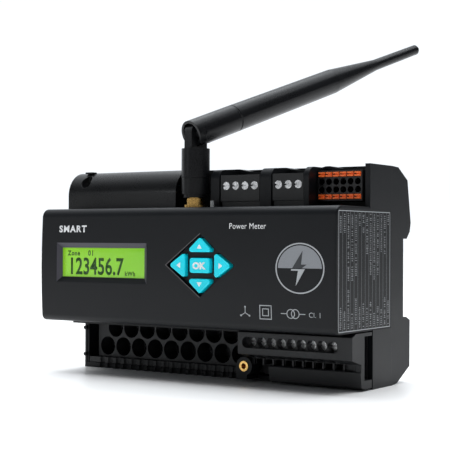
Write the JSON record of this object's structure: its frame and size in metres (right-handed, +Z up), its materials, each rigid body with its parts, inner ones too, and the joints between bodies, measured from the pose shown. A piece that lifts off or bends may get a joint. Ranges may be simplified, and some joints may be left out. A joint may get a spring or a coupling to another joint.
{
  "type": "smart electric meter",
  "caption": "Rail-mounted energy meter: wide dark case with a stepped nose, green display, keypad, plug-in terminals and a swivel antenna.",
  "frame": {"origin": "middle of the seat that lies on the 35 mm rail", "axes": "+Y out of the back into the rail, -Y the front face looks, +Z up, +X to the right seen from the front"},
  "size_m": [0.162, 0.1734, 0.1715],
  "materials": {
    "housing_plastic": "fine spark texture, dark grey",
    "cover_plastic": "satin black",
    "terminal_plastic": "matt black",
    "screw_steel": "bright nickel",
    "brass": "bright brass",
    "lever_orange": "satin orange",
    "window_clear": "clear",
    "lcd_green": "lit yellow green",
    "backlight_white": "diffuser",
    "key_cyan": "translucent silicone look",
    "silicone": "soft",
    "circuit_board": "solder mask",
    "component_black": "potted",
    "can_aluminium": "satin",
    "label_film": "printed film",
    "antenna_plastic": "satin black",
    "latch_plastic": "satin black"
  },
  "bodies": {
    "housing": {"antenna_jack": "brass", "backup_battery": "can_aluminium", "board_header": "terminal_plastic", "current_sensors": "component_black", "display_board": "circuit_board", "display_window": "window_clear", "four_pole_header": "terminal_plastic", "front_housing": "housing_plastic", "housing_screws": "screw_steel", "keypad_mat": "silicone", "lcd_backlight": "backlight_white", "lcd_module": "lcd_green", "main_board": "circuit_board", "measuring_block": "terminal_plastic", "measuring_clamps": "brass", "measuring_screws": "screw_steel", "power_module": "component_black", "push_in_header": "terminal_plastic", "radio_module": "can_aluminium", "rear_housing": "housing_plastic", "seal_insert": "brass", "side_label": "label_film", "status_light": "window_clear", "supply_capacitors": "can_aluminium", "three_pole_header": "terminal_plastic", "upper_block": "terminal_plastic", "upper_screws": "screw_steel", "voltage_block": "terminal_plastic", "voltage_clamps": "brass", "voltage_screws": "screw_steel"},
    "key_up": {"key_up": "key_cyan"},
    "key_down": {"key_down": "key_cyan"},
    "key_left": {"key_left": "key_cyan"},
    "key_right": {"key_right": "key_cyan"},
    "key_ok": {"key_ok": "key_cyan"},
    "four_pole_plug": {"four_pole_plug": "terminal_plastic", "four_pole_screws": "screw_steel"},
    "three_pole_plug": {"three_pole_plug": "terminal_plastic", "three_pole_screws": "screw_steel"},
    "push_in_plug": {"push_in_plug": "terminal_plastic"},
    "terminal_cover": {"upper_terminal_cover": "cover_plastic", "cover_screw": "screw_steel"},
    "antenna_nut": {"antenna_nut": "antenna_plastic"},
    "antenna_stem": {"antenna_stem": "antenna_plastic"},
    "antenna_rod": {"antenna_rod": "antenna_plastic", "antenna_hinge_pin": "screw_steel"},
    "latch_left": {"rail_latch_left": "latch_plastic"},
    "latch_right": {"rail_latch_right": "latch_plastic"},
    "lever_01": {"push_in_lever_01": "lever_orange"},
    "lever_02": {"push_in_lever_02": "lever_orange"},
    "lever_03": {"push_in_lever_03": "lever_orange"},
    "lever_04": {"push_in_lever_04": "lever_orange"},
    "lever_05": {"push_in_lever_05": "lever_orange"},
    "lever_06": {"push_in_lever_06": "lever_orange"},
    "lever_07": {"push_in_lever_07": "lever_orange"},
    "lever_08": {"push_in_lever_08": "lever_orange"},
    "lever_09": {"push_in_lever_09": "lever_orange"},
    "lever_10": {"push_in_lever_10": "lever_orange"},
    "lever_11": {"push_in_lever_11": "lever_orange"},
    "lever_12": {"push_in_lever_12": "lever_orange"}
  },
  "joints": [
    {"name": "press_key_up", "type": "slide", "parent": "housing", "child": "key_up", "axis": [0, 1, 0], "range_m": [0, 0.0008], "stiffness_N_per_m": 300},
    {"name": "press_key_down", "type": "slide", "parent": "housing", "child": "key_down", "axis": [0, 1, 0], "range_m": [0, 0.0008], "stiffness_N_per_m": 300},
    {"name": "press_key_left", "type": "slide", "parent": "housing", "child": "key_left", "axis": [0, 1, 0], "range_m": [0, 0.0008], "stiffness_N_per_m": 300},
    {"name": "press_key_right", "type": "slide", "parent": "housing", "child": "key_right", "axis": [0, 1, 0], "range_m": [0, 0.0008], "stiffness_N_per_m": 300},
    {"name": "press_key_ok", "type": "slide", "parent": "housing", "child": "key_ok", "axis": [0, 1, 0], "range_m": [0, 0.0008], "stiffness_N_per_m": 300},
    {"name": "pull_four_pole_plug", "type": "slide", "parent": "housing", "child": "four_pole_plug", "axis": [0, -1, 0], "range_m": [0, 0.01]},
    {"name": "pull_three_pole_plug", "type": "slide", "parent": "housing", "child": "three_pole_plug", "axis": [0, -1, 0], "range_m": [0, 0.01]},
    {"name": "pull_push_in_plug", "type": "slide", "parent": "housing", "child": "push_in_plug", "axis": [0, -1, 0], "range_m": [0, 0.009]},
    {"name": "pull_terminal_cover", "type": "slide", "parent": "housing", "child": "terminal_cover", "axis": [0, -1, 0], "range_m": [0, 0.012]},
    {"name": "press_lever_01", "type": "slide", "parent": "push_in_plug", "child": "lever_01", "axis": [0, 1, 0], "range_m": [0, 0.001], "stiffness_N_per_m": 600},
    {"name": "press_lever_02", "type": "slide", "parent": "push_in_plug", "child": "lever_02", "axis": [0, 1, 0], "range_m": [0, 0.001], "stiffness_N_per_m": 600},
    {"name": "press_lever_03", "type": "slide", "parent": "push_in_plug", "child": "lever_03", "axis": [0, 1, 0], "range_m": [0, 0.001], "stiffness_N_per_m": 600},
    {"name": "press_lever_04", "type": "slide", "parent": "push_in_plug", "child": "lever_04", "axis": [0, 1, 0], "range_m": [0, 0.001], "stiffness_N_per_m": 600},
    {"name": "press_lever_05", "type": "slide", "parent": "push_in_plug", "child": "lever_05", "axis": [0, 1, 0], "range_m": [0, 0.001], "stiffness_N_per_m": 600},
    {"name": "press_lever_06", "type": "slide", "parent": "push_in_plug", "child": "lever_06", "axis": [0, 1, 0], "range_m": [0, 0.001], "stiffness_N_per_m": 600},
    {"name": "press_lever_07", "type": "slide", "parent": "push_in_plug", "child": "lever_07", "axis": [0, 1, 0], "range_m": [0, 0.001], "stiffness_N_per_m": 600},
    {"name": "press_lever_08", "type": "slide", "parent": "push_in_plug", "child": "lever_08", "axis": [0, 1, 0], "range_m": [0, 0.001], "stiffness_N_per_m": 600},
    {"name": "press_lever_09", "type": "slide", "parent": "push_in_plug", "child": "lever_09", "axis": [0, 1, 0], "range_m": [0, 0.001], "stiffness_N_per_m": 600},
    {"name": "press_lever_10", "type": "slide", "parent": "push_in_plug", "child": "lever_10", "axis": [0, 1, 0], "range_m": [0, 0.001], "stiffness_N_per_m": 600},
    {"name": "press_lever_11", "type": "slide", "parent": "push_in_plug", "child": "lever_11", "axis": [0, 1, 0], "range_m": [0, 0.001], "stiffness_N_per_m": 600},
    {"name": "press_lever_12", "type": "slide", "parent": "push_in_plug", "child": "lever_12", "axis": [0, 1, 0], "range_m": [0, 0.001], "stiffness_N_per_m": 600},
    {"name": "release_latch_left", "type": "slide", "parent": "housing", "child": "latch_left", "axis": [0, 0, -1], "range_m": [0, 0.0045], "stiffness_N_per_m": 600},
    {"name": "release_latch_right", "type": "slide", "parent": "housing", "child": "latch_right", "axis": [0, 0, -1], "range_m": [0, 0.0045], "stiffness_N_per_m": 600},
    {"name": "turn_antenna_nut", "type": "hinge", "parent": "housing", "child": "antenna_nut", "pos_m": [-0.006, -0.04, 0.042], "axis": [0, 0, 1], "continuous": true},
    {"name": "swivel_antenna", "type": "hinge", "parent": "housing", "child": "antenna_stem", "pos_m": [-0.006, -0.04, 0.055], "axis": [0, 0, 1], "range_deg": [-180, 180]},
    {"name": "tilt_antenna", "type": "hinge", "parent": "antenna_stem", "child": "antenna_rod", "pos_m": [-0.006, -0.04, 0.0666], "axis": [0.9613, -0.2756, 0], "range_deg": [-19.7, 70.3]}
  ]
}
